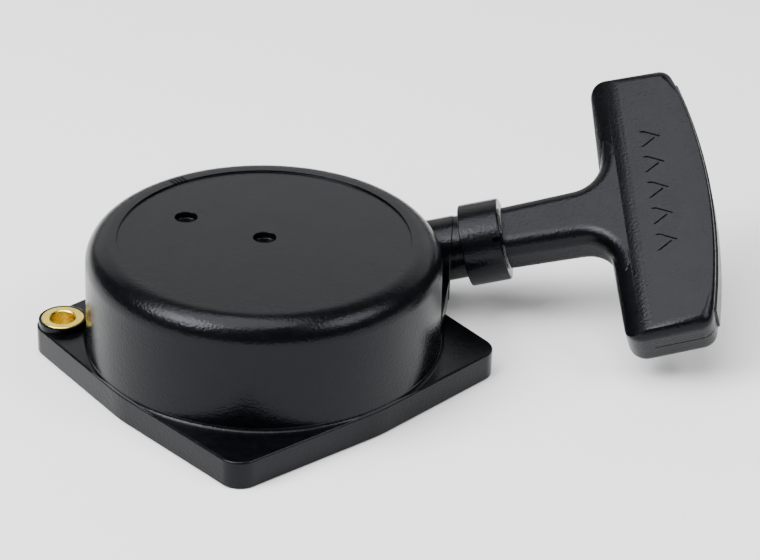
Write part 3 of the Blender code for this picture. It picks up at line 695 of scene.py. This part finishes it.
def make_handle():
    outline = bar_outline()
    edges = []
    for u, v in outline:
        edges.append(GRIP_EDGE_R if u < 60 else 1.5 + (GRIP_EDGE_R - 1.5) * smooth(abs(v), 31, 41))
    body = soft_prism(outline, -GRIP_HALF_T, GRIP_HALF_T, edges, 12)
    handle = piece("handle_moulding", body, BLACK_GRIP, HANDLE_FRAME)
    crown = prism(crown_outline(), -60, 60)
    side_on = frame_matrix(PULL_START, PULL_AXIS, GRIP_NORMAL)
    combine(handle, piece("tool_crown", crown, place=side_on), "INTERSECT")
    stem = soft_prism(stem_outline(), -STEM_HALF_T, STEM_HALF_T, (STEM_EDGE_R, STEM_EDGE_R), 14)
    combine(handle, piece("tool_stem", stem, place=HANDLE_FRAME), "UNION")
    trim = prism([(0, -20), (STEM_START, -20), (STEM_START, 20), (0, 20)], -20, 20)
    combine(handle, piece("tool_stem_end", trim, place=HANDLE_FRAME))
    start, past = STEM_START - 1, GRIP_OUTER_MID + 5
    bore = [(0, start), (2.3, start), (2.3, POCKET_START), (POCKET_R, POCKET_START)]
    bore += [(POCKET_R, past), (0, past)]
    combine(handle, piece("tool_rope_way", turned(bore, 48), place=NECK_FRAME))
    slot = outer_arc(3.0, CAP_HALF_LENGTH, 48) + outer_arc(-1.2, CAP_HALF_LENGTH, 48)[::-1]
    slot = prism(slot, -CAP_HALF_WIDTH, CAP_HALF_WIDTH)
    combine(handle, piece("tool_cap_slot", slot, place=HANDLE_FRAME))
    parting = prism(parting_strip(), -0.16, 0.16)
    combine(handle, piece("tool_parting", parting, place=HANDLE_FRAME))
    for number in range(5):
        outline = chevron(MARK_FIRST_V - MARK_PITCH * number)
        mark = prism(outline, GRIP_HALF_T - MARK_DEPTH, GRIP_HALF_T + 1)
        combine(handle, piece(f"tool_mark_{number}", mark, place=HANDLE_FRAME))
    settle(handle)
    stands_for(handle, "handle", "black_grip", "handle_body")

    half = CAP_HALF_LENGTH - 0.15
    outline = outer_arc(0.5, half, 64) + outer_arc(-1.1, half, 64)[::-1]
    cap = soft_prism(outline, -CAP_HALF_WIDTH + 0.1, CAP_HALF_WIDTH - 0.1, (0.4, 0.4), 4)
    made = piece("handle_cap_strip", cap, BLACK_GRIP, HANDLE_FRAME)
    settle(made)
    stands_for(made, "handle", "black_grip", "handle_cap")


# ---------------------------------------------------------------- rope


def make_rope():
    """Four turns in the reel's groove, and the lead that pays out of the outlet up to the handle's knot."""
    turns = bmesh.new()
    for number in range(ROPE_TURNS):
        height = REEL_MIDDLE + (number - (ROPE_TURNS - 1) / 2) * 2 * ROPE_R
        ring = turned(arc((COIL_R, height), ROPE_R * 0.99, 0, 330, 11), 160)
        mesh = bpy.data.meshes.new("one_turn")
        ring.to_mesh(mesh)
        ring.free()
        turns.from_mesh(mesh)
        bpy.data.meshes.remove(mesh)
    made = piece("rope_turns", turns, ROPE, sharp=60)
    stands_for(made, "reel", "rope", "rope_coil")

    rings = []
    steps = 280
    for k in range(steps + 1):
        u = LEAD_START + (LEAD_END - LEAD_START) * k / steps
        radius = ROPE_R * (1.0 if k % 2 == 0 else 0.97)
        rings.append([(x, y, u) for x, y in arc((0, 0), radius, 0, 345, 23)])
    lead = piece("rope_paid_out", lofted(rings), ROPE, NECK_FRAME, 60)
    settle(lead, 60)
    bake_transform(lead)
    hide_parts("rope_lead")


# ---------------------------------------------------------------- studio


def make_floor():
    mesh = bmesh.new()
    bmesh.ops.create_grid(mesh, x_segments=8, y_segments=8, size=3.0)
    paper = Nodes("floor_paper")
    colours = [(0.3, (0.91, 0.91, 0.91)), (0.7, (0.93, 0.93, 0.93))]
    paper.link(paper.ramp(paper.noise(9.0), colours), paper.shader.inputs["Base Color"])
    paper.set(Roughness=0.9)
    paper.shader.inputs["Specular IOR Level"].default_value = 0.0
    floor = piece("floor", mesh, paper.material, Matrix.Translation((0, 0, -0.0002)))


LIGHT_AIM = Vector((20.0, 0.0, 30.0)) * MM


def soft_box(name, azimuth, elevation, distance, size, radiance):
    """Rectangular soft light seen from the object in that direction; degrees, then metres."""
    turn, rise = math.radians(azimuth), math.radians(elevation)
    towards = Vector((math.cos(rise) * math.cos(turn), math.cos(rise) * math.sin(turn), math.sin(rise)))
    light = bpy.data.lights.new(name, "AREA")
    light.shape = "RECTANGLE"
    light.size, light.size_y = size
    light.energy = math.pi * light.size * light.size_y * radiance
    made = bpy.data.objects.new(name, light)
    bpy.context.scene.collection.objects.link(made)
    made.location = LIGHT_AIM + towards * distance
    made.rotation_euler = (-towards).to_track_quat("-Z", "Y").to_euler()


def make_lights():
    world = bpy.data.worlds.new("studio")
    world.use_nodes = True
    world.node_tree.nodes["Background"].inputs["Color"].default_value = (0.93, 0.96, 1, 1)
    world.node_tree.nodes["Background"].inputs["Strength"].default_value = 0.15
    bpy.context.scene.world = world
    soft_box("left_box", -148, 46, 1.2, (0.68, 0.54), 19.5)
    soft_box("right_box", -18, 45, 1.2, (0.66, 0.54), 8.0)
    soft_box("top_box", -146, 78, 1.25, (1.10, 0.92), 6.3)
    soft_box("back_box", 92, 31, 1.4, (2.8, 1.0), 1.1)


def make_camera():
    azimuth, elevation, roll = (math.radians(a) for a in (CAMERA_TURN, CAMERA_RISE, CAMERA_ROLL))
    level = Vector((math.sin(azimuth), -math.cos(azimuth), 0))
    back = level * math.cos(elevation) + Vector((0, 0, math.sin(elevation)))
    right = Vector((math.cos(azimuth), math.sin(azimuth), 0))
    up = back.cross(right)
    leaned_right = right * math.cos(roll) + up * math.sin(roll)
    leaned_up = up * math.cos(roll) - right * math.sin(roll)
    lens = bpy.data.cameras.new("camera")
    lens.lens = CAMERA_LENS
    lens.sensor_width = 36.0
    lens.clip_start = 0.01
    camera = bpy.data.objects.new("camera", lens)
    bpy.context.scene.collection.objects.link(camera)
    turn = Matrix((leaned_right, leaned_up, back)).transposed().to_4x4()
    place = (Vector(CAMERA_TARGET) + back * CAMERA_DISTANCE) * MM
    camera.matrix_world = Matrix.Translation(place) @ turn
    bpy.context.scene.camera = camera


make_camera()
finish_cad_nodes()
make_housing()
make_sleeves()
make_collar()
make_handle()
make_rope()
make_floor()
make_lights()
